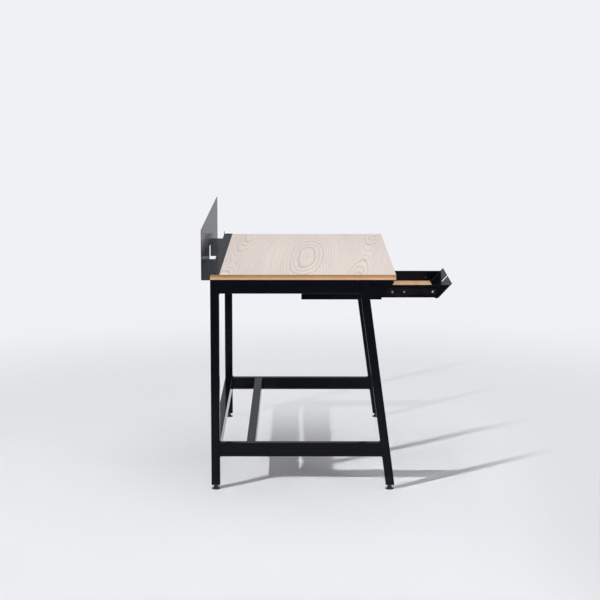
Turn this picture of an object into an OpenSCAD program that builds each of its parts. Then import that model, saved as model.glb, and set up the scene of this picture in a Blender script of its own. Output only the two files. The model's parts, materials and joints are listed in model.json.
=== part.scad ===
/* [Top] */
// Width of the top, along X
top_w = 1200; // [900:10:1800]
// Depth of the top, along Y
top_d = 632; // [610:2:800]
// Thickness of the wooden board
top_t = 18; // [15:1:30]
// Height of the top's upper face above the floor
table_h = 750; // [720:5:800]
// Chamfer on the board's edges
edge_chamfer = 1; // [0.4:0.2:2]

/* [Side frames] */
// Side of the square leg tube
leg = 30; // [28:1:40]
// Height of the rail tube; its width is the leg's
rail_h = 48; // [40:1:60]
// Wall of every tube
tube_wall = 1.5; // [1.2:0.1:2.5]
// Corner radius of every tube
tube_r = 2; // [1:0.5:3]
// How far the frames sit in from the board's ends
frame_inset = 2; // [0:1:20]
// How far the front leg leans back between its foot and the top rail
front_lean = 90; // [60:5:110]
// Underside of the lower rails above the floor
lower_rail_z = 117; // [90:1:200]
// Gap under the legs that the feet fill
foot_gap = 18; // [16:1:24]
// Rear plane to the rear face of the middle stretcher
middle_stretcher_y = 121; // [80:1:260]
// Rear plane to the rear face of the hidden rail under the top
middle_rail_y = 268; // [200:1:270]

/* [Screen and gutter] */
// Thickness of the screen's sheet steel
screen_t = 1.6; // [1.2:0.2:2]
// Top edge of the screen above the board's face
screen_rise = 152; // [100:1:220]
// Width of the cable gutter behind the board
gutter_w = 30; // [20:1:60]
// Width of the strip that lies on the board
strip_w = 32; // [20:1:50]
// Radius of the screen's two top corners
screen_corner_r = 8; // [4:1:30]
// Length of the cable cut-out
cutout_w = 100; // [60:5:200]
// Height of the cable cut-out in the screen
cutout_h = 44; // [20:1:60]
// Height of the small upstand at the strip's right end
upstand_h = 12; // [6:1:20]

/* [Drawer] */
// Outer width of the drawer box
drawer_w = 380; // [300:5:600]
// Height of the drawer's side walls
wall_h = 46; // [44:1:50]
// Underside of the drawer's side walls above the floor
drawer_z = 609.6; // [600:0.2:615]
// Board's rear edge to the outside of the case's back
case_y = 310; // [300:1:330]
// Length of the slides, which is also their travel
slide_len = 286; // [246:10:306]
// How far the drawer stands open
open_by = 200; // [120:5:220]
// Forward reach of the slanted front
front_run = 50; // [40:1:60]
// Height of the slanted front
front_rise = 53; // [50:1:58]
// How far the slanted front overhangs each side wall
front_overhang = 15; // [14:1:20]
// Width of the finger notch
notch_w = 38; // [30:1:60]
// Depth of the finger notch, along the slope
notch_d = 30; // [15:1:40]
// Thickness of the drawer's plywood bottom
bottom_t = 7; // [4:1:9]

/* [Feet] */
// Radius of the foot pads
pad_r = 15; // [12:1:20]
// Radius of the foot's threaded stem
stem_r = 5; // [4:0.5:6]

/* [Colours] */
// Powder coat of the steelwork
coat_colour = "#24262b"; // [#24262b:Black, #6b6f75:Grey, #e9e9e6:White]
// Face veneer of the board
wood_colour = "#d4ccc7"; // [#d4ccc7:Pale oak, #b98d62:Oak, #5c4030:Walnut]
// Bare zinc-plated steel
zinc_colour = "#b9bcc0"; // [#b9bcc0:Clear zinc, #c8b070:Yellow zinc]
// Feet, inserts and bumpers
plastic_colour = "#1b1b1d"; // [#1b1b1d:Black, #8d8f92:Grey]
// Plywood of the drawer's bottom
plywood_colour = "#d2a681"; // [#d2a681:Birch, #d4ccc7:Pale oak]
// Blackened steel of the slides and the feet's stems
slide_colour = "#1f2126"; // [#1f2126:Black zinc, #b9bcc0:Clear zinc]

/* [Hidden] */
$fn = 48;
LEFT = -1;
RIGHT = 1;
REAR = 0;
FRONT = 1;
// How far a cutter reaches past what it cuts
eps = 0.5;

// Screws: their shank, pilot holes in the wood and clearance holes in the sheets
screw_r = 2;
pilot_r = 2.05;
pilot_depth = 12;
screw_grip = 11;
// Radial clearance of a stem or stud in its bore
thread_gap = 0.05;
clear_r = 2.3;

// Levels
under_top = table_h - top_t;
rail_z = under_top - rail_h;
lower_rail_top = lower_rail_z + rail_h;
screen_top = table_h + screen_rise;

// Side frames
frame_x = top_w / 2 - frame_inset;
frame_in = frame_x - leg;
lean = atan(front_lean / (rail_z - foot_gap));
leg_depth = leg / cos(lean);

// Slides: cross-section measured from the case side towards the drawer
slide_gap = 13;
slide_h = 45;
slide_t = 1.2;
middle_h = 34;
inner_h = 24;
slide_drop = 1.6;
slide_zc = drawer_z + wall_h / 2 - slide_drop;

// Case
case_t = 2;
case_x = drawer_w / 2 + slide_gap;
case_out = case_x + case_t;
case_lift = 1.4;
case_z = drawer_z + case_lift;
case_flange = 20;
case_len = slide_len + 4;
case_run = 47;
case_rise = 57;
case_step = 22;
case_setback = 6;
case_end = top_d - case_setback;
case_back_top = 700;
channel_d = 12;
channel_below = 5;
channel_above = 46;
channel_hem = 5.6;
slide_setback = 1.4;
slide_y = case_y + slide_setback;

// Rubber bumpers on the case's back, and the rivets that hold the slides
bumper_r = 6;
bumper_t = 2;
bumper_inset = 25;
bumper_rise = 28;
rivet_r = 2;
rivet_hole_r = 2.1;
rivet_head_r = 4.5;
rivet_head_t = 1.6;
rivet_inset = 35;

// Drawer
wall_t = 1.2;
sheet_bend = 1.4;
front_t = 3;
front_gap = 0.4;
front_clear = 5;
front_return = 10;
rear_clear = 4;
notch_r = 4;
flange_w = 12;
hem_h = 7;
box_rear = case_y + rear_clear + open_by;
front_foot = case_y + case_len + front_clear + open_by;
slope = atan2(front_rise, front_run);
front_len = norm([front_run, front_rise]);
front_x = drawer_w / 2 + front_overhang;
floor_z = drawer_z + wall_t;
bottom_gap = 0.3;
drawer_screw_y = [box_rear + 22, box_rear + 124, front_foot - 20];
drawer_screw_r = 2.2;
drawer_screw_tip = 1.4;
drawer_screw_head_r = 4.2;
drawer_screw_head_t = 1.8;

// Origin: under the middle of the bounding box, on the floor
rear_y = (front_foot + front_run - gutter_w) / 2;

// ---- outlines ----

// A point of a side profile: y counts forwards from the board's rear edge
function side(y, z) = [-y, z];

// Rectangle with round corners, centred
function rounded(w, h, r, steps = 4) = [
    for (q = [0 : 3]) for (k = [0 : steps])
        let (a = 90 * (q + k / steps),
             cx = (q == 0 || q == 3 ? 1 : -1) * (w / 2 - r),
             cy = (q < 2 ? 1 : -1) * (h / 2 - r))
        [cx + r * cos(a), cy + r * sin(a)]
];

function heading(a, b) = atan2(b[1] - a[1], b[0] - a[0]);
function turn_of(a) = a > 180 ? a - 360 : a <= -180 ? a + 360 : a;
function normal(d) = [-sin(d), cos(d)];

// Centre line of a folded sheet: each corner of the path becomes an arc.
// Every entry is a point and the heading there.
function fold_line(path, r, steps) = concat(
    [[path[0], heading(path[0], path[1])]],
    [for (i = [1 : len(path) - 2])
        let (d0 = heading(path[i - 1], path[i]),
             turn = turn_of(heading(path[i], path[i + 1]) - d0),
             start = path[i] - r * tan(abs(turn) / 2) * [cos(d0), sin(d0)],
             centre = start + sign(turn) * r * normal(d0))
        for (k = [0 : steps])
            let (d = d0 + turn * k / steps)
            [centre - sign(turn) * r * normal(d), d]],
    [[path[len(path) - 1], heading(path[len(path) - 2], path[len(path) - 1])]]
);

// Outline of a sheet of thickness t folded along the path
function folded(path, t, r = 1.8, steps = 5) =
    let (line = fold_line(path, r, steps), n = len(line) - 1)
    concat([for (p = line) p[0] + t / 2 * normal(p[1])],
           [for (i = [n : -1 : 0]) line[i][0] - t / 2 * normal(line[i][1])]);

// ---- placing ----

// Everything is built with y = 0 at the board's rear edge and moved once
module desk() { translate([0, rear_y, 0]) children(); }
module coat() { color(coat_colour) desk() children(); }
module zinc() { color(zinc_colour) desk() children(); }
module plastic() { color(plastic_colour) desk() children(); }
module black_zinc() { color(slide_colour) desk() children(); }

// Extrude a side profile along X, or an end profile along the depth
module along_x(x0, x1) { translate([x0, 0, 0]) rotate([90, 0, 90]) linear_extrude(x1 - x0) children(); }
module along_y(y0, y1) { translate([0, -y0, 0]) rotate([90, 0, 0]) linear_extrude(y1 - y0) children(); }

// The right-hand piece is the left-hand one mirrored
module at(hand) { mirror([hand == LEFT ? 1 : 0, 0, 0]) children(); }

// Round bar or hole along X
module rod_x(x0, x1, y, z, r) { translate([x0, -y, z]) rotate([0, 90, 0]) cylinder(h = x1 - x0, r = r); }

// Clearance hole through a level sheet at the height z
module sheet_hole(z) { translate([0, 0, z]) cylinder(h = 10, r = clear_r, center = true); }

module tube_2d(w, h) {
    difference() {
        polygon(rounded(w, h, tube_r));
        square([w - 2 * tube_wall, h - 2 * tube_wall], center = true);
    }
}

// ---- top ----

module chamfered(w, h, c) {
    polygon([[-w / 2 + c, 0], [w / 2 - c, 0], [w / 2, c], [w / 2, h - c],
             [w / 2 - c, h], [-w / 2 + c, h], [-w / 2, h - c], [-w / 2, c]]);
}

module pilot_hole(z) { translate([0, 0, z]) cylinder(h = pilot_depth + eps, r = pilot_r); }

module table_top() {
    color(wood_colour) desk() difference() {
        translate([0, 0, under_top]) intersection() {
            along_y(0, top_d) chamfered(top_w, top_t, edge_chamfer);
            translate([0, -top_d / 2, 0])
                along_x(-top_w / 2, top_w / 2) chamfered(top_d, top_t, edge_chamfer);
        }
        bracket_points() pilot_hole(under_top - eps);
        case_screw_points() pilot_hole(under_top - eps);
        strip_points() pilot_hole(table_h - pilot_depth);
    }
}

// ---- side frames ----

// Outer edge of the raked front leg at a height
function front_edge(z) = top_d - (z - foot_gap) * tan(lean);

module rear_leg(hand) {
    coat() at(hand) translate([frame_x - leg / 2, -leg / 2, foot_gap])
        linear_extrude(under_top - foot_gap) tube_2d(leg, leg);
}

// Raked square bar with the side s, too long at both ends, which are cut off level afterwards
module raked_bar(s) {
    spare = 40;
    translate([frame_x - leg / 2, -(front_edge(foot_gap) - leg_depth / 2), foot_gap]) rotate([-lean, 0, 0])
        translate([0, 0, -spare]) linear_extrude(under_top + spare) polygon(rounded(s, s, tube_r));
}

module level_slab(z0, z1) { translate([-top_w, -2 * top_d, z0]) cube([2 * top_w, 3 * top_d, z1 - z0]); }

module front_leg(hand) {
    coat() at(hand) intersection() {
        level_slab(foot_gap, under_top);
        difference() {
            raked_bar(leg);
            raked_bar(leg - 2 * tube_wall);
        }
    }
}

// A rail runs from the rear leg to the raked front leg
module side_rail(hand, z) {
    reach = front_edge(z) - leg_depth;
    top = z + rail_h;
    far_reach = front_edge(top) - leg_depth;
    coat() at(hand) intersection() {
        translate([frame_x - leg / 2, 0, z + rail_h / 2]) along_y(leg, top_d) tube_2d(leg, rail_h);
        along_x(0, top_w) polygon([side(leg, z), side(reach, z), side(far_reach, top), side(leg, top)]);
    }
}

// A rail across the desk, between the inner faces of the side frames
module cross_rail(y, z) {
    coat() translate([0, -y - leg / 2, z + rail_h / 2]) rotate([90, 0, 90])
        translate([0, 0, -frame_in]) linear_extrude(2 * frame_in) tube_2d(leg, rail_h);
}

module rear_stretcher() { cross_rail(0, lower_rail_z); }
module middle_stretcher() { cross_rail(middle_stretcher_y, lower_rail_z); }
module rear_top_rail() { cross_rail(0, rail_z); }
module middle_top_rail() { cross_rail(middle_rail_y, rail_z); }

// ---- brackets under the top ----

bracket_y = [130, 460];
bracket_w = 44;
bracket_t = 3;
bracket_leg = 28;
bracket_hole_x = 17;
bracket_hole_pitch = 22;

module bracket_points() {
    for (hand = [LEFT, RIGHT], y = bracket_y, step = [-1, 1])
        translate([hand * (frame_in - bracket_hole_x), -(y + step * bracket_hole_pitch / 2), 0]) children();
}

module brackets(hand) {
    profile = [[frame_in - bracket_t / 2, under_top - bracket_leg],
               [frame_in - bracket_t / 2, under_top - bracket_t / 2],
               [frame_in - bracket_leg, under_top - bracket_t / 2]];
    coat() at(hand) difference() {
        for (y = bracket_y)
            along_y(y - bracket_w / 2, y + bracket_w / 2) polygon(folded(profile, bracket_t, 2.5));
        bracket_points() sheet_hole(under_top);
    }
}

// Pan-head screw pointing up, its head under z = 0, through a sheet and into the wood
module pan_screw(sheet) {
    length = sheet + screw_grip;
    rotate_extrude() polygon([[0, -2.2], [2.6, -2.1], [3.9, -1.2], [4.1, 0],
                              [screw_r, 0], [screw_r, length - screw_r], [0, length]]);
}

module bracket_screws() {
    zinc() bracket_points() translate([0, 0, under_top - bracket_t]) pan_screw(bracket_t);
}

// ---- screen, gutter and strip ----

screen_path = [
    side(-gutter_w + screen_t / 2, screen_top),
    side(-gutter_w + screen_t / 2, under_top - screen_t / 2),
    side(-screen_t / 2, under_top - screen_t / 2),
    side(-screen_t / 2, table_h + screen_t / 2),
    side(strip_w, table_h + screen_t / 2)
];
strip_screw_x = [-top_w / 2 + 20, top_w / 2 - 20];
upstand_len = 18;
cutout_r = 4;
fold_reach = 4;

module strip_points() {
    for (x = strip_screw_x) translate([x, -strip_w / 2, 0]) children();
}

module corner_cut(r) {
    difference() {
        square([r + eps, r + eps]);
        circle(r);
    }
}

module back_screen() {
    coat() difference() {
        union() {
            along_x(-top_w / 2, top_w / 2) polygon(folded(screen_path, screen_t));
            translate([top_w / 2 - upstand_len, 0, table_h]) cube([upstand_len, screen_t, upstand_h]);
        }
        for (hand = [LEFT, RIGHT])
            at(hand) translate([top_w / 2 - screen_corner_r, 0, screen_top - screen_corner_r])
                along_y(-gutter_w - eps, -gutter_w + fold_reach) corner_cut(screen_corner_r);
        // The cable cut-out runs up the screen and forwards into the gutter's floor
        translate([0, 0, under_top + cutout_h / 2]) along_y(-gutter_w - eps, -gutter_w + fold_reach)
            polygon(rounded(cutout_w, cutout_h + 6, cutout_r));
        translate([0, gutter_w / 2 + 2, under_top - fold_reach]) linear_extrude(2 * fold_reach)
            polygon(rounded(cutout_w, gutter_w, cutout_r));
        strip_points() sheet_hole(table_h);
    }
}

module strip_screws() {
    coat() strip_points() translate([0, 0, table_h + screen_t]) mirror([0, 0, 1]) pan_screw(screen_t);
}

// ---- feet ----

plug_h = 22;
flange_t = 1.6;
pad_top = 11.5;
pad_socket = 3;
stem_top = 48;

function foot_y(row) = row == REAR ? leg / 2 : front_edge(foot_gap + plug_h / 2) - leg_depth / 2;

module at_foot(hand, row) { translate([hand * (frame_x - leg / 2), -foot_y(row), 0]) children(); }

module foot_insert(hand, row) {
    plastic() difference() {
        union() {
            at(hand) if (row == REAR)
                translate([frame_x - leg / 2, -leg / 2, foot_gap])
                    linear_extrude(plug_h) square(leg - 2 * tube_wall, center = true);
            else
                intersection() {
                    level_slab(foot_gap, foot_gap + plug_h);
                    raked_bar(leg - 2 * tube_wall);
                }
            leg_y = row == REAR ? leg / 2 : front_edge(foot_gap) - leg_depth / 2;
            translate([hand * (frame_x - leg / 2), -leg_y, foot_gap - flange_t])
                linear_extrude(flange_t) polygon(rounded(leg - 1, leg - 1, 3));
        }
        at_foot(hand, row) translate([0, 0, foot_gap - flange_t - eps])
            cylinder(h = plug_h + flange_t + 2 * eps, r = stem_r + thread_gap);
    }
}

module foot_stem(hand, row) {
    black_zinc() at_foot(hand, row) rotate_extrude()
        polygon([[0, pad_socket], [stem_r, pad_socket], [stem_r, stem_top - 1],
                 [stem_r - 1, stem_top], [0, stem_top]]);
}

module foot_pad(hand, row) {
    plastic() at_foot(hand, row) rotate_extrude() polygon([
        [0, 0], [pad_r - 1, 0], [pad_r, 1], [pad_r, 2.6], [pad_r - 1.4, 3.6],
        [stem_r + 4, 5.4], [stem_r + 2.4, pad_top],
        [stem_r + thread_gap, pad_top], [stem_r + thread_gap, pad_socket], [0, pad_socket]
    ]);
}

// ---- case under the top ----

// Side plate: its front end slants back to the drawer front, and a flange holds it to the board
module case_side(hand) {
    tip_z = case_z + case_rise;
    front_low = case_y + case_len;
    plate = [side(case_y, case_z), side(front_low, case_z), side(front_low + case_run, tip_z),
             side(case_end, tip_z + case_step), side(case_end, under_top), side(case_y, under_top)];
    coat() at(hand) difference() {
        union() {
            along_x(case_x, case_out) polygon(plate);
            along_y(case_y, case_end)
                translate([case_x, under_top - case_t]) square([case_flange, case_t]);
        }
        case_rivet_points(case_x - eps, case_out + eps, rivet_hole_r);
        case_screw_points() sheet_hole(under_top);
    }
}

case_screw_y = [case_y + 30, (case_y + top_d) / 2, top_d - 40];
case_screw_x = case_x + (case_flange + case_t) / 2;

module case_screw_points() {
    for (hand = [LEFT, RIGHT], y = case_screw_y) translate([hand * case_screw_x, -y, 0]) children();
}

module case_screws() {
    zinc() case_screw_points() translate([0, 0, under_top - case_t]) pan_screw(case_t);
}

module case_back() {
    coat() along_y(case_y, case_y + wall_t)
        translate([-case_x, case_z]) square([2 * case_x, case_back_top - case_z]);
}

// Shallow channel along the outside of the side plate, behind the slide
module case_channel(hand) {
    z0 = case_z - channel_below + wall_t / 2;
    z1 = case_z + channel_above - wall_t / 2;
    inner = case_out + wall_t / 2;
    outer = case_out + channel_d - wall_t / 2;
    outline = [[inner, z0 + channel_hem], [case_out + channel_d / 2, z0],
               [outer, z0], [outer, z1], [case_out, z1]];
    coat() at(hand) along_y(case_y, case_y + case_len) polygon(folded(outline, wall_t, sheet_bend));
}

module case_bumpers() {
    plastic() for (hand = [LEFT, RIGHT])
        translate([hand * (drawer_w / 2 - bumper_inset), -(case_y + wall_t), drawer_z + bumper_rise])
            rotate([90, 0, 0]) cylinder(h = bumper_t, r1 = bumper_r, r2 = bumper_r - 1);
}

module case_rivet_points(x0, x1, r) {
    for (y = [slide_y + rivet_inset, slide_y + slide_len - rivet_inset]) rod_x(x0, x1, y, slide_zc, r);
}

module case_rivets() {
    zinc() for (hand = [LEFT, RIGHT]) at(hand) {
        case_rivet_points(case_x - slide_t, case_out, rivet_r);
        case_rivet_points(case_out, case_out + rivet_head_t, rivet_head_r);
    }
}

// ---- slides ----

// Channel with lips: web at the depth t, lips towards the depth reach
module slide_channel(h, web, reach, y) {
    lip = h / 2 - slide_t / 2;
    along_y(y, y + slide_len)
        translate([0, slide_zc])
            polygon(folded([[case_x - reach, -lip], [case_x - web, -lip],
                            [case_x - web, lip], [case_x - reach, lip]], slide_t, sheet_bend));
}

module slide_outer(hand) {
    black_zinc() at(hand) difference() {
        slide_channel(slide_h, slide_t / 2, outer_reach, slide_y);
        case_rivet_points(case_x - slide_t - eps, case_x + eps, rivet_hole_r);
    }
}

middle_y = slide_y + open_by / 2;
inner_y = slide_y + open_by;
outer_reach = 9.4;
inner_reach = 8.2;
middle_web = 6.2;
middle_lip = 7.2;
inner_web = slide_gap - slide_t / 2;
stud_y = middle_y + slide_len - 15;
stud_hole_r = 2;
stud_head_r = 3.6;
stud_head_t = 1.6;
stud_proud = 0.2;
peep_y = middle_y + slide_len - 57;
peep_r = 4.6;

// Web in the middle with lips both ways
module slide_middle(hand) {
    lip = middle_h / 2 - slide_t;
    black_zinc() at(hand) difference() {
        along_y(middle_y, middle_y + slide_len) translate([case_x, slide_zc]) {
            translate([-middle_web - slide_t / 2, -middle_h / 2]) square([slide_t, middle_h]);
            for (z = [-middle_h / 2, lip])
                translate([-middle_web - middle_lip / 2, z]) square([middle_lip, slide_t]);
        }
        rod_x(case_x - middle_web - 2, case_x - middle_web + 2, stud_y, slide_zc, stud_hole_r);
        rod_x(case_x - middle_web - 2, case_x - middle_web + 2, peep_y, slide_zc, peep_r);
    }
}

module slide_stud(hand) {
    stud_foot = case_x - middle_web + slide_t / 2;
    zinc() at(hand) {
        rod_x(stud_foot - slide_t - stud_proud, stud_foot, stud_y, slide_zc, stud_hole_r - thread_gap);
        rod_x(stud_foot, stud_foot + stud_head_t, stud_y, slide_zc, stud_head_r);
    }
}

module slide_inner(hand) {
    black_zinc() at(hand) difference() {
        slide_channel(inner_h, inner_web, inner_reach, inner_y);
        drawer_screw_points(drawer_w / 2 - eps, drawer_w / 2 + slide_t + eps, clear_r);
    }
}

// Ball cages: a U-shaped strip with a row of balls in each arm
cage_len = 130;
cage_pitch = 13;
cage_t = 0.6;

module cage(hand, web, reach, half, ball_r, ball_x, y) {
    zinc() at(hand) translate([case_x, 0, slide_zc]) {
        along_y(y, y + cage_len) {
            translate([-web - cage_t / 2, -half - cage_t / 2]) square([cage_t, 2 * half + cage_t]);
            for (z = [-half, half])
                translate([min(-web, -reach), z - cage_t / 2]) square([abs(reach - web), cage_t]);
        }
        for (z = [-half, half], i = [0 : cage_len / cage_pitch - 1])
            translate([-ball_x, -(y + cage_pitch / 2 + i * cage_pitch), z]) sphere(r = ball_r, $fn = 16);
    }
}

outer_half = (slide_h / 2 - slide_t + middle_h / 2) / 2;
inner_half = (middle_h / 2 - slide_t + inner_h / 2) / 2;

cage_y = slide_y + (slide_len - cage_len) / 2;

module outer_cage(hand) { cage(hand, 1.9, 8, outer_half, 1.95, 5.2, cage_y + open_by / 4); }
module inner_cage(hand) { cage(hand, 7.45, 11.5, inner_half, 1.7, 9.6, cage_y + open_by * 3 / 4); }

// ---- drawer ----

// Where the slanted front's inner face stands at a height
function front_inside(z) = front_foot - front_t / sin(slope) + (z - drawer_z) / tan(slope);

module drawer_side(hand) {
    top_z = drawer_z + wall_h;
    wall = [side(box_rear, drawer_z), side(front_inside(drawer_z) - front_gap, drawer_z),
            side(front_inside(top_z) - front_gap, top_z), side(box_rear, top_z)];
    coat() at(hand) difference() {
        union() {
            along_x(drawer_w / 2 - wall_t, drawer_w / 2) polygon(wall);
            along_y(box_rear, front_inside(drawer_z) - front_gap)
                translate([drawer_w / 2 - flange_w, drawer_z]) square([flange_w, wall_t]);
            along_y(box_rear, front_inside(top_z) - hem_h)
                translate([drawer_w / 2 - 2 * wall_t, top_z - hem_h]) square([wall_t, hem_h]);
        }
        drawer_screw_points(drawer_w / 2 - 2 * wall_t - eps, drawer_w / 2 + eps, clear_r);
    }
}

module drawer_back() {
    inside = drawer_w / 2 - wall_t;
    coat() {
        along_y(box_rear, box_rear + wall_t)
            translate([-inside, floor_z]) square([2 * inside, wall_h - wall_t - hem_h]);
        along_y(box_rear, box_rear + flange_w)
            translate([-inside + flange_w, drawer_z]) square([2 * (inside - flange_w), wall_t]);
    }
}

module drawer_bottom() {
    inside = drawer_w / 2 - wall_t - bottom_gap;
    color(plywood_colour) desk()
        along_y(box_rear + wall_t + bottom_gap, front_inside(floor_z) - 2 * bottom_gap)
            translate([-inside, floor_z]) square([2 * inside, bottom_t]);
}

// Slanted plate with a return flange under the drawer
module drawer_front() {
    low = drawer_z - front_t;
    tip_y = front_foot + front_run;
    tip_z = drawer_z + front_rise;
    outer = [side(front_foot - front_return, low), side(front_foot - front_t / tan(slope), low),
             side(tip_y, tip_z), side(tip_y - front_t * sin(slope), tip_z + front_t * cos(slope)),
             side(front_inside(drawer_z), drawer_z), side(front_foot - front_return, drawer_z)];
    coat() difference() {
        along_x(-front_x, front_x) polygon(outer);
        translate([0, -tip_y, tip_z]) rotate([90 - slope, 0, 0])
            along_y(-2 * front_t, 2 * front_t) polygon(rounded(notch_w, 2 * notch_d, notch_r));
        // The return is no wider than the drawer box
        for (hand = [LEFT, RIGHT]) at(hand) translate([drawer_w / 2 + eps, -front_foot, low - eps])
            cube([front_overhang, front_return + eps, front_t + eps]);
    }
}

module drawer_screw_points(x0, x1, r) { for (y = drawer_screw_y) rod_x(x0, x1, y, slide_zc, r); }

module drawer_screws() {
    zinc() for (hand = [LEFT, RIGHT]) at(hand) {
        head = drawer_w / 2 + slide_t;
        drawer_screw_points(drawer_w / 2 - wall_t - drawer_screw_tip, head, drawer_screw_r);
        drawer_screw_points(head, head + drawer_screw_head_t, drawer_screw_head_r);
    }
}

table_top();
rear_leg(LEFT);  // left_rear_leg
front_leg(LEFT);  // left_front_leg
side_rail(LEFT, rail_z);  // left_top_rail
side_rail(LEFT, lower_rail_z);  // left_lower_rail
rear_leg(RIGHT);  // right_rear_leg
front_leg(RIGHT);  // right_front_leg
side_rail(RIGHT, rail_z);  // right_top_rail
side_rail(RIGHT, lower_rail_z);  // right_lower_rail
rear_stretcher();
middle_stretcher();
rear_top_rail();
middle_top_rail();
brackets(LEFT);  // left_brackets
brackets(RIGHT);  // right_brackets
bracket_screws();
back_screen();
strip_screws();
foot_insert(LEFT, REAR);  // foot_insert_rear_left
foot_insert(RIGHT, REAR);  // foot_insert_rear_right
foot_insert(LEFT, FRONT);  // foot_insert_front_left
foot_insert(RIGHT, FRONT);  // foot_insert_front_right
foot_stem(LEFT, REAR);  // foot_stem_rear_left
foot_stem(RIGHT, REAR);  // foot_stem_rear_right
foot_stem(LEFT, FRONT);  // foot_stem_front_left
foot_stem(RIGHT, FRONT);  // foot_stem_front_right
foot_pad(LEFT, REAR);  // foot_pad_rear_left
foot_pad(RIGHT, REAR);  // foot_pad_rear_right
foot_pad(LEFT, FRONT);  // foot_pad_front_left
foot_pad(RIGHT, FRONT);  // foot_pad_front_right
case_side(LEFT);  // case_left_side
case_side(RIGHT);  // case_right_side
case_back();
case_screws();
case_channel(LEFT);  // left_case_channel
case_channel(RIGHT);  // right_case_channel
case_bumpers();
case_rivets();
slide_outer(LEFT);  // left_slide_outer
slide_outer(RIGHT);  // right_slide_outer
slide_middle(LEFT);  // left_slide_middle
slide_middle(RIGHT);  // right_slide_middle
slide_inner(LEFT);  // left_slide_inner
slide_inner(RIGHT);  // right_slide_inner
slide_stud(LEFT);  // left_slide_stud
slide_stud(RIGHT);  // right_slide_stud
outer_cage(LEFT);  // left_outer_cage
outer_cage(RIGHT);  // right_outer_cage
inner_cage(LEFT);  // left_inner_cage
inner_cage(RIGHT);  // right_inner_cage
drawer_side(LEFT);  // drawer_left_side
drawer_side(RIGHT);  // drawer_right_side
drawer_back();
drawer_bottom();
drawer_front();
drawer_screws();
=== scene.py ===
"""Looks of the drafting desk: materials, small detail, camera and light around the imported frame."""
import json
import math

import bmesh
import bpy
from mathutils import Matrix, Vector

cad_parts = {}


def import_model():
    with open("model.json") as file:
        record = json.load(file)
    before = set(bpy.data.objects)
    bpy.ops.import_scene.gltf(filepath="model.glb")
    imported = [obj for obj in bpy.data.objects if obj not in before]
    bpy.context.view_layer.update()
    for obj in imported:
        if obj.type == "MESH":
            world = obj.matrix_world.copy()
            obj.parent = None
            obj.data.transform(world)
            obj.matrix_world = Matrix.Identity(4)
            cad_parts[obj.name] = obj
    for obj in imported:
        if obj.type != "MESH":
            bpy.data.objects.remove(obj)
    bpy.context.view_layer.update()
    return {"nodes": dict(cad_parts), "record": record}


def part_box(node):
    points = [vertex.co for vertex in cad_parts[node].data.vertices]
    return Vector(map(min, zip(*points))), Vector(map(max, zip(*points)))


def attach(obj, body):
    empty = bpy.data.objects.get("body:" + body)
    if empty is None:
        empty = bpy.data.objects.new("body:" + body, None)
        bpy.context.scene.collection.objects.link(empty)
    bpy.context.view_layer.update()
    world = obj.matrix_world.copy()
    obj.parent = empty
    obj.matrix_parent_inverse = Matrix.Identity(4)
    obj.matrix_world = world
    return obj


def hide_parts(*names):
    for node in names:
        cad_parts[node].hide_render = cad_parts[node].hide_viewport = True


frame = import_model()
scene = bpy.context.scene
nodes = frame["nodes"]
MM = 0.001

# ---------------------------------------------------------------- places taken from the frame

top_low, top_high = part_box("table_top")
TABLE_H = top_high.z
REAR_Y = top_high.y
UNDER_TOP = top_low.z
SIDES = {"left": -1, "right": 1}
ROWS = ("rear", "front")


# ---------------------------------------------------------------- node graphs

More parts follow.
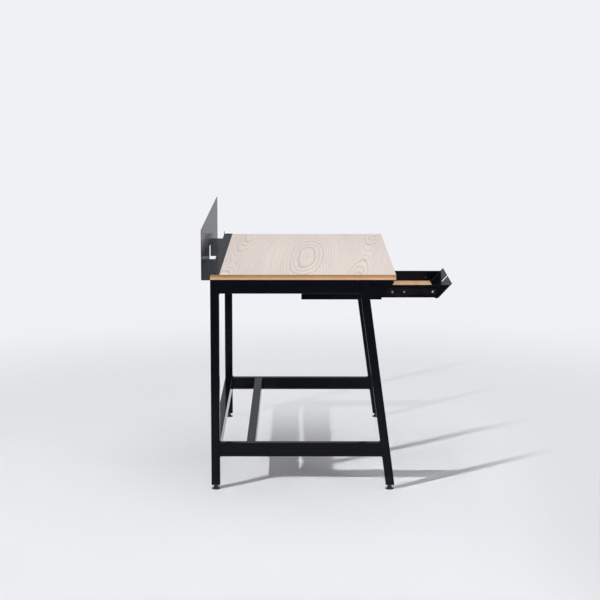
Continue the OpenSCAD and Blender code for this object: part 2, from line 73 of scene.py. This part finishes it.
class Nodes:
    """Shorthand for a node tree, emptied first, where place is one output of its texture coordinates."""

    def __init__(self, tree, coordinates):
        self.tree = tree
        tree.nodes.clear()
        self.place = self.new("TexCoord").outputs[coordinates]

    def new(self, kind):
        return self.tree.nodes.new(f"ShaderNode{kind}")

    def plug(self, value, socket):
        """Link an output, or set a plain value."""
        if isinstance(value, bpy.types.NodeSocket):
            self.tree.links.new(value, socket)
        else:
            socket.default_value = value

    def axes(self, vector=None):
        split = self.new("SeparateXYZ")
        self.plug(vector or self.place, split.inputs[0])
        return split.outputs

    def vector(self, x=0.0, y=0.0, z=0.0):
        node = self.new("CombineXYZ")
        for value, socket in zip((x, y, z), node.inputs):
            self.plug(value, socket)
        return node.outputs[0]

    def math(self, operation, a, b=0.0):
        node = self.new("Math")
        node.operation = operation
        self.plug(a, node.inputs[0])
        self.plug(b, node.inputs[1])
        return node.outputs[0]

    def add(self, a, b):
        return self.math("ADD", a, b)

    def less(self, a, b):
        return self.math("SUBTRACT", a, b)

    def times(self, a, b):
        return self.math("MULTIPLY", a, b)

    def length(self, a, b):
        return self.math("SQRT", self.add(self.times(a, a), self.times(b, b)))

    def stretched(self, x, y, z):
        """Object place scaled differently along each axis, in cycles a metre."""
        node = self.new("Mapping")
        self.plug(self.place, node.inputs["Vector"])
        node.inputs["Scale"].default_value = (x, y, z)
        return node.outputs[0]

    def noise(self, vector, scale=1.0, detail=2.0, rough=0.5):
        """Noise around 0.5, with the scale in cycles for each unit of the vector."""
        node = self.new("TexNoise")
        self.plug(vector, node.inputs["Vector"])
        node.inputs["Scale"].default_value = scale
        node.inputs["Detail"].default_value = detail
        node.inputs["Roughness"].default_value = rough
        return node.outputs["Fac"]

    def spread(self, value, low, high, to_low=0.0, to_high=1.0, step="SMOOTHSTEP"):
        """The value's place between low and high, rescaled: a smooth step, or another kind."""
        node = self.new("MapRange")
        node.interpolation_type = step
        for item, socket in zip((value, low, high, to_low, to_high), node.inputs):
            self.plug(item, socket)
        return node.outputs[0]

    def ramp(self, value, stops):
        node = self.new("ValToRGB")
        self.plug(value, node.inputs[0])
        ramp = node.color_ramp
        while len(ramp.elements) < len(stops):
            ramp.elements.new(0.5)
        for element, (place, colour) in zip(ramp.elements, stops):
            element.position = place
            element.color = (*colour, 1.0)
        return node.outputs[0]

    def mix(self, fac, a, b):
        """Colour a where fac is 0, b where it is 1."""
        node = self.new("Mix")
        node.data_type = "RGBA"
        for value, socket in ((fac, node.inputs["Factor"]), (a, node.inputs["A"]), (b, node.inputs["B"])):
            self.plug((*value, 1.0) if isinstance(value, tuple) else value, socket)
        return node.outputs["Result"]


class Graph(Nodes):
    """A material's node tree, built around one Principled shader."""

    def __init__(self, name):
        self.material = bpy.data.materials.new(name)
        self.material.use_nodes = True
        super().__init__(self.material.node_tree, "Object")
        self.shader = self.new("BsdfPrincipled")
        out = self.new("OutputMaterial")
        self.plug(self.shader.outputs["BSDF"], out.inputs["Surface"])

    def normal(self):
        return self.new("NewGeometry").outputs["Normal"]

    def up(self):
        """How far the surface faces up or down: 1 on a level face, 0 on an upright one."""
        return self.math("ABSOLUTE", self.axes(self.normal())["Z"])

    def edge(self, radius):
        """1 along sharp edges, fading to 0 within the radius."""
        flat, turned = 0.995, 0.90
        bevel = self.new("Bevel")
        bevel.samples = 4
        bevel.inputs["Radius"].default_value = radius
        turn = self.new("VectorMath")
        turn.operation = "DOT_PRODUCT"
        self.plug(bevel.outputs[0], turn.inputs[0])
        self.plug(self.normal(), turn.inputs[1])
        return self.spread(turn.outputs["Value"], flat, turned)

    def bump(self, height, strength, distance):
        """Raise the surface by height, with the distance in metres."""
        node = self.new("Bump")
        node.inputs["Strength"].default_value = strength
        node.inputs["Distance"].default_value = distance
        self.plug(height, node.inputs["Height"])
        self.plug(node.outputs[0], self.shader.inputs["Normal"])

    def finish(self, colour, roughness, **constants):
        """Set the shader's main inputs, and others by name, with _ for a space; gives the material."""
        self.plug(colour, self.shader.inputs["Base Color"])
        self.plug(roughness, self.shader.inputs["Roughness"])
        for name, value in constants.items():
            self.shader.inputs[name.replace("_", " ")].default_value = value
        return self.material


# ---------------------------------------------------------------- metals and plastic

COAT_DEEP = (0.0042, 0.0050, 0.0078)
COAT_HAZY = (0.0050, 0.0060, 0.0092)
# Lighter colour for sharp edges: partly worn paint, partly a painted edge highlight
COAT_WORN_AND_GLINT = (0.030, 0.031, 0.034)
COAT_SHEEN = 0.09
# Width of that lighter edge band of wear and painted highlight
WEAR_AND_GLINT_WIDTH = 0.9 * MM
PEEL_DEPTH = 0.12 * MM
ROLLED_DEPTH = 0.1 * MM
MOULDED_DEPTH = 0.15 * MM
NYLON_DEEP = (0.008, 0.008, 0.009)
NYLON_HAZY = (0.014, 0.014, 0.015)
BRIGHT_ZINC = dict(light=(0.66, 0.67, 0.69), dark=(0.50, 0.51, 0.54), roughness=0.26, grain=60.0)
BLACK_ZINC = dict(light=(0.022, 0.022, 0.025), dark=(0.013, 0.013, 0.015), roughness=0.34, grain=30.0)


def powder_coat():
    """Satin black polyester powder coat: fine orange peel, faint clouding, and edges lightened a little,
    partly as wear and partly as a painted highlight.
    """
    g = Graph("powder_coat")
    peel = g.noise(g.place, 900.0, 2.0)
    cloud = g.noise(g.place, 7.0, 3.0, 0.55)
    wipe = g.noise(g.place, 25.0, 4.0, 0.6)
    body = g.mix(g.spread(cloud, 0.3, 0.7), COAT_DEEP, COAT_HAZY)
    # Lighter along sharp edges, in patches: partly worn paint, partly a painted highlight where edges
    # would catch light
    wear_and_glint = g.times(g.edge(WEAR_AND_GLINT_WIDTH), g.spread(wipe, 0.40, 0.68, 0.05, 0.45))
    colour = g.mix(wear_and_glint, body, COAT_WORN_AND_GLINT)
    rough = g.add(g.times(cloud, 0.015), g.spread(wipe, 0.35, 0.75, 0.10, 0.12))
    g.bump(peel, 0.05, PEEL_DEPTH)
    return g.finish(colour, rough, Specular_IOR_Level=COAT_SHEEN)


def zinc(name, light, dark, roughness, grain):
    """Zinc-plated steel with a fine rolled grain and faint clouding."""
    g = Graph(name)
    rolled = g.noise(g.stretched(180.0, grain, 180.0), 1.0, 3.0)
    cloud = g.noise(g.place, 60.0, 3.0)
    colour = g.mix(g.spread(cloud, 0.35, 0.7), dark, light)
    g.bump(rolled, 0.12, ROLLED_DEPTH)
    return g.finish(colour, g.add(g.times(rolled, 0.14), roughness), Metallic=1.0)


def black_plastic():
    """Moulded black nylon with a fine spark-eroded texture."""
    g = Graph("black_plastic")
    fine = g.noise(g.place, 2600.0, 2.0)
    cloud = g.noise(g.place, 30.0, 3.0)
    colour = g.mix(cloud, NYLON_DEEP, NYLON_HAZY)
    g.bump(fine, 0.2, MOULDED_DEPTH)
    return g.finish(colour, g.add(g.times(cloud, 0.15), 0.45), Specular_IOR_Level=0.4)


# ---------------------------------------------------------------- wood

PALE_OAK = (0.690, 0.624, 0.576)
PINK_OAK = (0.652, 0.584, 0.545)
LATE_WOOD = (0.370, 0.290, 0.245)
PORE = (0.260, 0.185, 0.145)
BRIGHT_FIBRE = (0.760, 0.680, 0.625)
PLY_STREAK = (0.70, 0.48, 0.30)
EDGE_BAND = (
    (0.00, (0.78, 0.54, 0.36)),
    (0.25, (0.78, 0.47, 0.255)),
    (0.50, (0.62, 0.32, 0.145)),
    (0.80, (0.42, 0.19, 0.075)),
    (0.96, (0.36, 0.17, 0.068)),
    (1.00, (0.55, 0.44, 0.37)),
)
PLYWOOD_FACE = (
    (0.25, (0.48, 0.275, 0.145)),
    (0.50, (0.58, 0.355, 0.205)),
    (0.75, (0.65, 0.420, 0.260)),
)
PLYWOOD_FIBRE = (0.50, 0.27, 0.135)
PLY_LIGHT = (0.56, 0.34, 0.19)
PLY_DARK = (0.36, 0.19, 0.095)
PLY = 2.3 * MM
GRAIN_DEPTH = 0.2 * MM
RINGS_A_METRE = 40.0
RINGS_TIGHTEN = 375.0
HEART_ROUND = 0.1
WAVERS_A_METRE = (2.6, 9.0)
RIPPLES_A_METRE = (19.0, 26.0)
RIPPLE = 0.018


def unsteady(g, along, across, rates, seed, detail):
    """Noise around 0, stretched by its rates along and across the board."""
    place = g.vector(g.times(along, rates[0]), g.times(across, rates[1]), seed)
    return g.less(g.noise(place, 1.0, detail), 0.5)


def grain_heart(g, x, y, centre, slant, near, middle, curve, sink, squeeze, wander, seed):
    """How far out in the tree's rings each point of one veneer leaf lies, in metres.

    The heart line runs along X at y = centre, slanting a little, and lies near under the face at
    x = middle. A positive curve sinks it away from there, so the rings close into ovals. A negative sink
    raises it again, so the rings open into nested arches on both sides. Squeeze draws the rings closer
    and the arches narrower.
    """
    along = g.less(x, middle)
    away = g.length(along, HEART_ROUND)
    waver = unsteady(g, along, y, WAVERS_A_METRE, seed, 2.0)
    ripple = unsteady(g, along, y, RIPPLES_A_METRE, seed + 4.0, 3.0)
    rise = g.add(g.times(g.times(along, along), curve), g.times(away, sink))
    depth = g.add(g.add(rise, near), g.times(waver, wander))
    shift = g.add(g.times(along, slant), centre)
    aside = g.add(g.less(y, shift), g.add(g.times(waver, wander * 0.5), g.times(ripple, RIPPLE)))
    return g.length(g.times(aside, squeeze), depth)


def oak_rings(g, x, y):
    """Distance from the nearest of three heart lines, side by side from the rear edge to the front."""
    hearts = (
        dict(centre=REAR_Y - 0.068, slant=-0.06, near=0.092, middle=-0.22, curve=0.0, sink=-0.090,
             squeeze=1.55, wander=0.020, seed=3.0),
        dict(centre=REAR_Y - 0.330, slant=-0.03, near=0.030, middle=-0.13, curve=0.16, sink=0.0,
             squeeze=1.0, wander=0.024, seed=7.0),
        dict(centre=REAR_Y - 0.550, slant=-0.09, near=0.090, middle=-0.02, curve=0.0, sink=-0.095,
             squeeze=1.55, wander=0.022, seed=12.0),
    )
    reach = None
    for heart in hearts:
        here = grain_heart(g, x, y, **heart)
        reach = here if reach is None else g.math("MINIMUM", reach, here)
    return reach


def oak_top():
    """Pale plain-sawn oak veneer in three leaves on a board with warm plywood edges."""
    g = Graph("oak_veneer")
    x, y, z = g.axes()
    reach = oak_rings(g, x, y)
    uneven = g.noise(g.vector(g.times(reach, 55.0), 0.7, 0.0), 1.0, 2.0)
    rings = g.times(reach, g.add(g.times(reach, RINGS_TIGHTEN), RINGS_A_METRE))
    ring = g.math("FRACT", g.add(rings, g.times(uneven, 1.1)))
    weight = g.spread(g.noise(g.vector(g.times(reach, 90.0), 4.1, 0.0), 1.0, 1.0), 0.35, 0.62, 0.30, 0.80)
    late = g.times(g.times(g.spread(ring, 0.56, 0.88), g.spread(ring, 1.0, 0.94)), weight)
    fibre = g.noise(g.stretched(5.0, 900.0, 900.0), 1.0, 4.0, 0.6)
    broad = g.noise(g.stretched(1.2, 14.0, 1.0), 1.0, 3.0)
    pores = g.spread(g.noise(g.stretched(60.0, 2600.0, 2600.0), 1.0, 2.0), 0.58, 0.72)
    pale = g.mix(g.spread(broad, 0.35, 0.65), PALE_OAK, PINK_OAK)
    face = g.mix(g.times(late, g.spread(fibre, 0.3, 0.7, 0.60, 1.0)), pale, LATE_WOOD)
    face = g.mix(g.times(pores, g.spread(late, 0.0, 1.0, 0.08, 0.45)), face, PORE)
    face = g.mix(g.spread(fibre, 0.35, 0.75, 0.0, 0.20), face, BRIGHT_FIBRE)

    # The board's edges: darkest just under the face, paler below, with fine ply streaks
    height = g.math("DIVIDE", g.less(z, UNDER_TOP), TABLE_H - UNDER_TOP)
    streak = g.noise(g.stretched(9.0, 9.0, 700.0), 1.0, 3.0)
    band = g.ramp(g.add(height, g.times(g.less(streak, 0.5), 0.16)), EDGE_BAND)
    band = g.mix(g.spread(streak, 0.4, 0.7, 0.0, 0.25), band, PLY_STREAK)
    colour = g.mix(g.spread(g.up(), 0.55, 0.85), band, face)
    rough = g.add(g.spread(late, 0.0, 1.0, 0.50, 0.44), g.times(fibre, 0.10))
    g.bump(g.add(g.times(fibre, 0.5), g.times(g.less(1.0, pores), 0.5)), 0.18, GRAIN_DEPTH)
    return g.finish(colour, rough, Specular_IOR_Level=0.30)


def plywood():
    """Thin warm plywood: straight grain along X, ply lines on its edges."""
    g = Graph("plywood")
    z = g.axes()["Z"]
    broad = g.noise(g.stretched(2.5, 42.0, 1.0), 1.0, 4.0, 0.55)
    fibre = g.noise(g.stretched(12.0, 1100.0, 900.0), 1.0, 3.0)
    face = g.mix(g.spread(fibre, 0.4, 0.75, 0.0, 0.30), g.ramp(broad, PLYWOOD_FACE), PLYWOOD_FIBRE)
    plies = g.math("FRACT", g.math("DIVIDE", z, PLY))
    edge = g.mix(g.spread(plies, 0.40, 0.60), PLY_LIGHT, PLY_DARK)
    colour = g.mix(g.spread(g.up(), 0.5, 0.8), edge, face)
    g.bump(fibre, 0.15, GRAIN_DEPTH)
    return g.finish(colour, g.add(g.times(fibre, 0.15), 0.5), Specular_IOR_Level=0.35)


finishes = {
    "powder_coat": powder_coat(),
    "oak_veneer": oak_top(),
    "plywood": plywood(),
    "black_zinc": zinc("black_zinc", **BLACK_ZINC),
    "zinc_steel": zinc("zinc_steel", **BRIGHT_ZINC),
    "black_plastic": black_plastic(),
}
slot_of = {part["node"]: part["material_slot"] for part in frame["record"]["subparts"]}
for name, piece in nodes.items():
    piece.data.materials.clear()
    piece.data.materials.append(finishes[slot_of[name]])


# ---------------------------------------------------------------- edges of the CAD parts

SAME_PLACE = 1e-6
SHEET_PARTS = ("back_screen", "drawer_front", "drawer_left_side", "drawer_right_side", "case_left_side",
               "case_right_side", "left_brackets", "right_brackets")
SHEET_EDGE = 0.35 * MM
BOARD_EDGE = 0.5 * MM


def soften(name, radius):
    """Round a CAD part's sharp edges a little, without touching its mesh."""
    flat_angle, sharp_angle = math.radians(0.5), math.radians(50)
    piece = nodes[name]
    weld = piece.modifiers.new("weld", "WELD")
    weld.merge_threshold = SAME_PLACE
    flat = piece.modifiers.new("flat", "DECIMATE")
    flat.decimate_type = "DISSOLVE"
    flat.angle_limit = flat_angle
    bevel = piece.modifiers.new("bevel", "BEVEL")
    bevel.width = radius
    bevel.segments = 2
    bevel.limit_method = "ANGLE"
    bevel.angle_limit = sharp_angle
    bevel.harden_normals = True


for name in SHEET_PARTS:
    soften(name, SHEET_EDGE)
for name in ("table_top", "case_rivets"):
    soften(name, BOARD_EDGE)


# ---------------------------------------------------------------- small pieces

# Weld beads: leg length, ripple spacing and how far they sink into the tubes
BEAD = 4.2 * MM
BEAD_RIPPLE = 1.6 * MM
BEAD_BITE = 0.3 * MM

# The same beads, as shares of the leg length: swelling of a ripple, size of the face, size at the
# ends, and how fast the bead grows from there
BEAD_SWELL = 0.14
BEAD_FACE = 0.80
BEAD_START = 0.5
BEAD_GROWTH = 6.0

TUBE_ROUND = 2 * MM
SCREW_SHANK = 2.0 * MM
PAN_HEAD = 2.2 * MM
LOW_PAN_HEAD = 1.8 * MM
SCREW_TURN = 0.7
THREAD_PITCH = 1.5 * MM
THREAD_DEPTH = 0.61 * THREAD_PITCH


def solid_piece(name, shape, body, slot):
    """Turn a bmesh into a smooth-shaded piece that rides on a body."""
    bmesh.ops.recalc_face_normals(shape, faces=shape.faces)
    mesh = bpy.data.meshes.new(name)
    shape.to_mesh(mesh)
    shape.free()
    mesh.materials.append(finishes[slot])
    mesh.shade_smooth()
    piece = bpy.data.objects.new(name, mesh)
    scene.collection.objects.link(piece)
    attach(piece, body)
    return piece


def skin(shape, rings):
    """Faces between rings of points of equal length, with both ends closed."""
    rows = [[shape.verts.new(point) for point in ring] for ring in rings]
    count = len(rows[0])
    for low, high in zip(rows, rows[1:]):
        for k in range(count):
            after = (k + 1) % count
            shape.faces.new((low[k], low[after], high[after], high[k]))
    shape.faces.new(list(reversed(rows[0])))
    shape.faces.new(rows[-1])


def weld_bead(shape, start, end, side_a, side_b):
    """A rippled fillet weld from start to end, in the corner whose faces run along side_a and side_b.

    It reaches a little further along side_a.
    """
    run = end - start
    steps_a_ripple = 4
    steps = int(run.length / BEAD_RIPPLE * steps_a_ripple)
    face = [(BEAD_FACE * math.cos(t), BEAD_FACE * math.sin(t)) for t in (0.4, 0.785, 1.17, math.pi / 2)]
    corner = [(0.0, 0.0), (1.0, 0.0)] + face
    rings = []
    for k in range(steps + 1):
        place = start + run * k / steps
        ripple = abs(math.sin(math.pi * run.length * k / steps / BEAD_RIPPLE))
        swell = 1 - BEAD_SWELL + BEAD_SWELL * ripple
        taper = min(1.0, BEAD_START + BEAD_GROWTH * min(k, steps - k) / steps)
        reach = BEAD * swell * taper
        root = place - (side_a + side_b) * BEAD_BITE
        rings.append([root + (side_a * a + side_b * b) * reach for a, b in corner])
    skin(shape, rings)


def frame_welds():
    """Fillet welds wherever two tubes meet at a corner."""
    shape = bmesh.new()
    down, up = Vector((0, 0, -1)), Vector((0, 0, 1))
    back, ahead = Vector((0, 1, 0)), Vector((0, -1, 0))
    upper, lower = (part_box(f"left_{level}_rail") for level in ("top", "lower"))
    lean = (upper[0].y - lower[0].y) / (upper[0].z - lower[0].z)
    up_leg = Vector((0, lean, 1)).normalized()
    for hand, sign in SIDES.items():
        for level in ("top", "lower"):
            low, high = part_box(f"{hand}_{level}_rail")
            x0, x1 = low.x + TUBE_ROUND, high.x - TUBE_ROUND
            tip_y = low.y + lean * (high.z - low.z)
            corners = [(high.y, low.z, ahead, down), (low.y, low.z, back, -up_leg)]
            if level == "lower":
                corners += [(high.y, high.z, ahead, up), (tip_y, high.z, back, up_leg)]
            for y, z, side_a, side_b in corners:
                weld_bead(shape, Vector((x0, y, z)), Vector((x1, y, z)), side_a, side_b)
        inward = Vector((-sign, 0, 0))
        for name in ("rear_stretcher", "rear_top_rail"):
            low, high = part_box(name)
            x = high.x * sign
            for z, side in ((low.z, down), (high.z, up)):
                if z < UNDER_TOP:
                    ends = [Vector((x, y, z)) for y in (low.y + TUBE_ROUND, high.y - TUBE_ROUND)]
                    weld_bead(shape, *ends, inward, side)
        for name in ("middle_stretcher", "middle_top_rail"):
            low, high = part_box(name)
            x = high.x * sign
            for y, side in ((low.y, ahead), (high.y, back)):
                ends = [Vector((x, y, z)) for z in (low.z + TUBE_ROUND, high.z - TUBE_ROUND)]
                weld_bead(shape, *ends, inward, side)
    solid_piece("frame_welds", shape, "frame", "powder_coat")


def islands(name):
    """The low and high corners of each separate solid in a CAD node."""
    shape = bmesh.new()
    shape.from_mesh(nodes[name].data)
    bmesh.ops.remove_doubles(shape, verts=shape.verts, dist=SAME_PLACE)
    waiting = set(shape.verts)
    boxes = []
    while waiting:
        group = [waiting.pop()]
        for vert in group:
            for edge in vert.link_edges:
                other = edge.other_vert(vert)
                if other in waiting:
                    waiting.remove(other)
                    group.append(other)
        boxes.append(tuple(Vector(pick(vert.co[k] for vert in group) for k in range(3))
                           for pick in (min, max)))
    shape.free()
    return sorted(boxes, key=lambda box: tuple(box[0]))


def cross_reach(angle, arm, half):
    """Outline of a cross recess: how far it reaches at an angle."""
    from_arm = (angle + math.pi / 4) % (math.pi / 2) - math.pi / 4
    nearly_none = 1e-6
    return min(arm, half / max(abs(math.sin(from_arm)), nearly_none))


def pan_screw(shape, seat, out, radius, height, length, turn):
    """A pan-head screw with a cross recess; seat is the middle of the head's underside."""
    around = 48
    shank = SCREW_SHANK
    side_a = out.orthogonal().normalized()
    side_b = out.cross(side_a)
    angles = [2 * math.pi * k / around for k in range(around)]
    outline = ((0.3 * shank, -length), (shank, shank - length), (shank, 0.0), (radius, 0.0),
               (radius, 0.35 * height), (0.94 * radius, 0.68 * height), (0.80 * radius, 0.90 * height),
               (0.62 * radius, height))
    rings = [[(r, z, angle) for angle in angles] for r, z in outline]

    # The recess's rim, shoulder and floor: an arm's reach, its half width and its level, as shares
    # of the head's radius and height
    for arm, half, z in ((0.52, 0.12, 1.0), (0.50, 0.10, 0.94), (0.34, 0.07, 0.35)):
        rings.append([(cross_reach(angle + turn, arm * radius, half * radius), z * height, angle)
                      for angle in angles])
    skin(shape, [[seat + out * z + (side_a * math.cos(angle) + side_b * math.sin(angle)) * r
                  for r, z, angle in ring] for ring in rings])


def screws():
    """Detailed screws in place of the plain ones, each turned a little differently.

    The drawer's screws face outwards on both sides of it.
    """
    sets = (
        ("bracket_screws", "frame", (0, 0, -1), PAN_HEAD),
        ("case_screws", "frame", (0, 0, -1), PAN_HEAD),
        ("strip_screws", "frame", (0, 0, 1), PAN_HEAD),
        ("drawer_screws", "drawer", (1, 0, 0), LOW_PAN_HEAD),
    )
    for name, body, axis, height in sets:
        shape = bmesh.new()
        for k, (low, high) in enumerate(islands(name)):
            out = Vector(axis)
            if axis[0] and high.x < 0:
                out = -out
            size = high - low
            extent = abs(size.dot(out))
            seat = (low + high) / 2 + out * (extent / 2 - height)
            pan_screw(shape, seat, out, size.y / 2, height, extent - height, SCREW_TURN * k)
        piece = solid_piece(f"{name}_detailed", shape, body, slot_of[name])
        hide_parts(name)


def threaded_rod(name, body, low, high, radius):
    """A machine thread between two heights, as a helical ridge on a core."""
    shape = bmesh.new()
    around = 28
    rings_a_turn = 8
    flank, crest = 1.15, 0.08
    centre = (low + high) / 2
    turns = (high.z - low.z) / THREAD_PITCH
    rings = []
    for k in range(int(turns * rings_a_turn) + 1):
        z = low.z + k * THREAD_PITCH / rings_a_turn
        ring = []
        for j in range(around):
            angle = 2 * math.pi * j / around
            phase = ((z - low.z) / THREAD_PITCH - j / around) % 1.0
            ridge = abs(2 * phase - 1)
            r = radius - THREAD_DEPTH * min(1.0, max(0.0, flank * ridge - crest))
            ring.append((centre.x + r * math.cos(angle), centre.y + r * math.sin(angle), z))
        rings.append(ring)
    skin(shape, rings)
    return solid_piece(name, shape, body, slot_of[f"foot_{body}"])


def feet():
    """Real threads in place of the plain stems."""
    for row in ROWS:
        for hand in SIDES:
            tag = f"{row}_{hand}"
            low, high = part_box(f"foot_stem_{tag}")
            rod = threaded_rod(f"threaded_stem_{tag}", f"stem_{tag}", low, high, (high.x - low.x) / 2)
            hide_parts(f"foot_stem_{tag}")


feet()
frame_welds()
screws()


# ---------------------------------------------------------------- stage, light and camera

# Where shadows are full, the floor reflects FLOOR_ALBEDO and glows a little. Where they have faded, it
# only glows,
# in FLOOR_TONE: painted light in place of the lamps' light, so the lamps' shadows fade out.
FLOOR_RADIUS = 3.4
FLOOR_FADES = 1.4
FLOOR_GONE = 3.3
FLOOR_TONE = (0.755, 0.761, 0.790)
FLOOR_ALBEDO = (0.277, 0.280, 0.290)
FLOOR_GLOW = (0.134, 0.138, 0.144)
BLACK = (0.0, 0.0, 0.0)

# Shadows are full up to NEAR_X and keep the share FAR_SHADOW beyond FAR_X. Along Y they fade out
# in front of the desk.
NEAR_X = -0.20
FAR_X = 0.85
FAR_SHADOW = 0.2
SHADOW_FADES = -0.42
SHADOW_END = -0.90

BACKDROP_TONE = (0.871, 0.880, 0.914)

# The surroundings that the desk reflects: dim behind the lens, bright ahead of it, and darker in a
# band of heights just above the horizon
STUDIO_TINT = (0.93, 0.95, 1.0)
ROOM_LEVEL = 0.13
BACKDROP_LEVEL = 0.39
DARK_BAND_Z = 0.125
DARK_BAND_HALF = 0.03
DARK_BAND_EDGE = 0.08
DARK_BAND_LEVEL = 0.45

AIM = Vector((0, 0, 0.4))
KEY_STRENGTH = 35.0


def stage():
    """A pale floor disc that fades into the backdrop all round, and whose lamp shadows fade out under a
    painted glow.
    """
    bpy.ops.mesh.primitive_circle_add(vertices=128, radius=FLOOR_RADIUS, fill_type="NGON",
                                      location=(0, 0, 0))
    floor = bpy.context.object
    floor.name = "floor"
    g = Graph("floor")
    axes = g.axes()
    g.plug(g.spread(g.length(axes["X"], axes["Y"]), FLOOR_GONE, FLOOR_FADES), g.shader.inputs["Alpha"])
    nearness = g.spread(axes["X"], FAR_X, NEAR_X, FAR_SHADOW, 1.0)
    shaded = g.times(nearness, g.spread(axes["Y"], SHADOW_END, SHADOW_FADES))
    # Painted light: the floor's glow grows where its shadows should fade, standing in for the lamps'
    # light
    g.plug(g.mix(shaded, FLOOR_TONE, FLOOR_GLOW), g.shader.inputs["Emission Color"])
    g.shader.inputs["Emission Strength"].default_value = 1.0
    g.finish(g.mix(shaded, BLACK, FLOOR_ALBEDO), 0.9, Specular_IOR_Level=0.0)
    floor.data.materials.append(g.material)
    return floor


def world():
    """The surroundings in reflections, and an even pale grey where the camera sees past the floor."""
    backdrop = bpy.data.worlds.new("studio")
    scene.world = backdrop
    backdrop.use_nodes = True
    g = Nodes(backdrop.node_tree, "Generated")
    axes = g.axes()
    ahead = g.spread(axes["X"], -0.5, 0.8, ROOM_LEVEL, BACKDROP_LEVEL, "LINEAR")
    from_band = g.math("ABSOLUTE", g.less(axes["Z"], DARK_BAND_Z))
    band = g.spread(from_band, DARK_BAND_HALF, DARK_BAND_EDGE, DARK_BAND_LEVEL, 1.0, "LINEAR")
    reflected, seen = g.new("Background"), g.new("Background")
    reflected.inputs["Color"].default_value = (*STUDIO_TINT, 1.0)
    g.plug(g.times(ahead, band), reflected.inputs["Strength"])
    seen.inputs["Color"].default_value = (*BACKDROP_TONE, 1.0)
    either = g.new("MixShader")
    sources = (g.new("LightPath").outputs["Is Camera Ray"], reflected.outputs[0], seen.outputs[0])
    for source, socket in zip(sources, either.inputs):
        g.plug(source, socket)
    g.plug(either.outputs[0], g.new("OutputWorld").inputs["Surface"])


def area_light(name, place, size, power, colour=(1.0, 1.0, 1.0)):
    """A round lamp aimed at the desk."""
    data = bpy.data.lights.new(name, "AREA")
    data.shape = "DISK"
    data.size = size
    data.energy = power
    data.color = colour
    lamp = bpy.data.objects.new(name, data)
    lamp.location = place
    lamp.rotation_euler = (AIM - Vector(place)).to_track_quat("-Z", "Y").to_euler()
    scene.collection.objects.link(lamp)
    return lamp


def lights(floor):
    """A wide softbox overhead, a fill from the front left, and a far key lamp for the legs' shadows.

    The key lamp lights only the floor, as strongly far away as near. Only the frame's legs, lower rails,
    stretchers and feet shade it.
    """
    area_light("softbox", place=(0.2, 0.0, 3.6), size=3.4, power=92.0, colour=(1.0, 0.99, 0.97))
    area_light("fill", place=(-4.6, -3.4, 2.4), size=1.6, power=235.0)
    key = area_light("key", place=(-6.08, 6.34, 3.75), size=0.24, power=1.0)
    key.data.use_nodes = True
    tree = key.data.node_tree
    falloff = tree.nodes.new("ShaderNodeLightFalloff")
    falloff.inputs["Strength"].default_value = KEY_STRENGTH
    tree.links.new(falloff.outputs["Constant"], tree.nodes["Emission"].inputs["Strength"])
    lit = bpy.data.collections.new("lit_by_key")
    lit.objects.link(floor)
    key.light_linking.receiver_collection = lit
    shading = bpy.data.collections.new("shading_key")
    for name, piece in nodes.items():
        if name.endswith(("_leg", "_lower_rail", "_stretcher")) or name.startswith("foot_"):
            shading.objects.link(piece)
    key.light_linking.blocker_collection = shading


def camera():
    """The viewing angle: along the desk from its left end, a little above the top."""
    distance, from_rear_edge, height = 6.131, 0.3106, 1.5994
    downward, leftward = 8.683, 0.046
    data = bpy.data.cameras.new("camera")
    data.sensor_width = 36.0
    data.lens = 109.5
    lens = bpy.data.objects.new("camera", data)
    lens.location = (top_low.x - distance, REAR_Y - from_rear_edge, height)
    lens.rotation_euler = (math.radians(90 - downward), 0.0, math.radians(leftward - 90))
    scene.collection.objects.link(lens)
    scene.camera = lens


floor = stage()
world()
lights(floor)
camera()
scene.view_settings.view_transform = "Standard"
scene.view_settings.look = "None"
